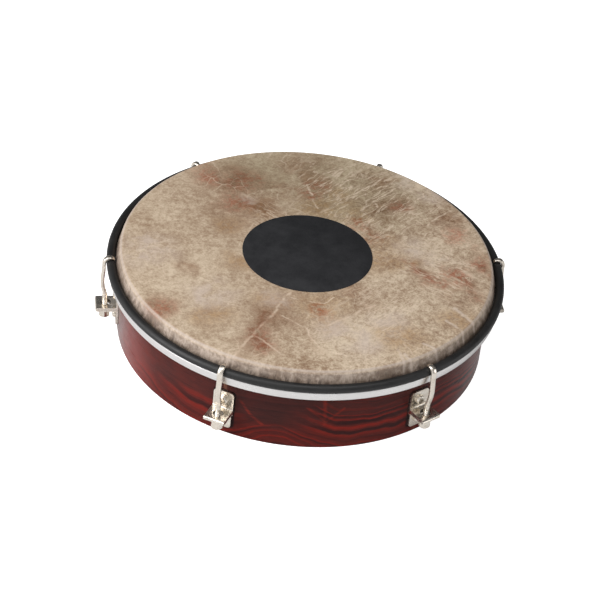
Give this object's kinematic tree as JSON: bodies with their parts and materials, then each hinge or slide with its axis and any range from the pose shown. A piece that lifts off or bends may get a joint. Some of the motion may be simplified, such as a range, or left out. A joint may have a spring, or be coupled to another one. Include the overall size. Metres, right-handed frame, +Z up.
{
  "type": "tunable frame drum",
  "caption": "Shallow round hand drum: mottled skin with a dark centre dot, stained wooden shell, black rod hoop and claw hooks with tuning nuts on folded brackets.",
  "frame": {"origin": "centre of the circle on which the open rim stands, on the drum's axis", "axes": "+Z up along the drum's axis, out of the skin; +X through the first tuning set"},
  "size_m": [0.2852, 0.2718, 0.0643],
  "materials": {
    "stained_wood": "dark red-brown stained veneer, satin lacquer",
    "skin_film": "mottled parchment-look drum film",
    "dot_film": "matte charcoal film",
    "bare_aluminium": "bright rolled",
    "black_enamel": "satin black",
    "nickel_plate": "nickel plated"
  },
  "bodies": {
    "shell": {"shell": "stained_wood", "head_membrane": "skin_film", "centre_dot": "dot_film", "lug_bracket_1": "nickel_plate", "lug_bracket_2": "nickel_plate", "lug_bracket_3": "nickel_plate", "lug_bracket_4": "nickel_plate", "lug_bracket_5": "nickel_plate", "lug_bracket_6": "nickel_plate", "bracket_screws": "nickel_plate", "screw_nuts": "nickel_plate"},
    "hoop": {"counterhoop": "black_enamel", "flesh_hoop": "bare_aluminium", "head_collar": "skin_film"},
    "hook_1": {"tension_hook_1": "nickel_plate"},
    "hook_2": {"tension_hook_2": "nickel_plate"},
    "hook_3": {"tension_hook_3": "nickel_plate"},
    "hook_4": {"tension_hook_4": "nickel_plate"},
    "hook_5": {"tension_hook_5": "nickel_plate"},
    "hook_6": {"tension_hook_6": "nickel_plate"},
    "nut_1": {"tuning_nut_1": "nickel_plate"},
    "nut_2": {"tuning_nut_2": "nickel_plate"},
    "nut_3": {"tuning_nut_3": "nickel_plate"},
    "nut_4": {"tuning_nut_4": "nickel_plate"},
    "nut_5": {"tuning_nut_5": "nickel_plate"},
    "nut_6": {"tuning_nut_6": "nickel_plate"}
  },
  "joints": [
    {"name": "head_tension", "type": "slide", "parent": "shell", "child": "hoop", "axis": [0, 0, -1], "range_m": [-0.003, 0.002], "deforming": ["head_collar"]},
    {"name": "hook_pull_1", "type": "slide", "parent": "shell", "child": "hook_1", "axis": [0, 0, -1], "range_m": [-0.003, 0.002]},
    {"name": "hook_pull_2", "type": "slide", "parent": "shell", "child": "hook_2", "axis": [0, 0, -1], "range_m": [-0.003, 0.002]},
    {"name": "hook_pull_3", "type": "slide", "parent": "shell", "child": "hook_3", "axis": [0, 0, -1], "range_m": [-0.003, 0.002]},
    {"name": "hook_pull_4", "type": "slide", "parent": "shell", "child": "hook_4", "axis": [0, 0, -1], "range_m": [-0.003, 0.002]},
    {"name": "hook_pull_5", "type": "slide", "parent": "shell", "child": "hook_5", "axis": [0, 0, -1], "range_m": [-0.003, 0.002]},
    {"name": "hook_pull_6", "type": "slide", "parent": "shell", "child": "hook_6", "axis": [0, 0, -1], "range_m": [-0.003, 0.002]},
    {"name": "nut_turn_1", "type": "hinge", "parent": "shell", "child": "nut_1", "pos_m": [0.1362, 0, 0.01475], "axis": [0, 0, 1], "range_deg": [-1545, 1030]},
    {"name": "nut_turn_2", "type": "hinge", "parent": "shell", "child": "nut_2", "pos_m": [0.0681, 0.11795, 0.01475], "axis": [0, 0, 1], "range_deg": [-1545, 1030]},
    {"name": "nut_turn_3", "type": "hinge", "parent": "shell", "child": "nut_3", "pos_m": [-0.0681, 0.11795, 0.01475], "axis": [0, 0, 1], "range_deg": [-1545, 1030]},
    {"name": "nut_turn_4", "type": "hinge", "parent": "shell", "child": "nut_4", "pos_m": [-0.1362, 0, 0.01475], "axis": [0, 0, 1], "range_deg": [-1545, 1030]},
    {"name": "nut_turn_5", "type": "hinge", "parent": "shell", "child": "nut_5", "pos_m": [-0.0681, -0.11795, 0.01475], "axis": [0, 0, 1], "range_deg": [-1545, 1030]},
    {"name": "nut_turn_6", "type": "hinge", "parent": "shell", "child": "nut_6", "pos_m": [0.0681, -0.11795, 0.01475], "axis": [0, 0, 1], "range_deg": [-1545, 1030]}
  ],
  "couplings": [
    {"joint": "hook_pull_1", "follows": "head_tension", "ratio": 1},
    {"joint": "hook_pull_2", "follows": "head_tension", "ratio": 1},
    {"joint": "hook_pull_3", "follows": "head_tension", "ratio": 1},
    {"joint": "hook_pull_4", "follows": "head_tension", "ratio": 1},
    {"joint": "hook_pull_5", "follows": "head_tension", "ratio": 1},
    {"joint": "hook_pull_6", "follows": "head_tension", "ratio": 1},
    {"joint": "nut_turn_1", "follows": "head_tension", "rad_per_m": 8976},
    {"joint": "nut_turn_2", "follows": "head_tension", "rad_per_m": 8976},
    {"joint": "nut_turn_3", "follows": "head_tension", "rad_per_m": 8976},
    {"joint": "nut_turn_4", "follows": "head_tension", "rad_per_m": 8976},
    {"joint": "nut_turn_5", "follows": "head_tension", "rad_per_m": 8976},
    {"joint": "nut_turn_6", "follows": "head_tension", "rad_per_m": 8976}
  ]
}
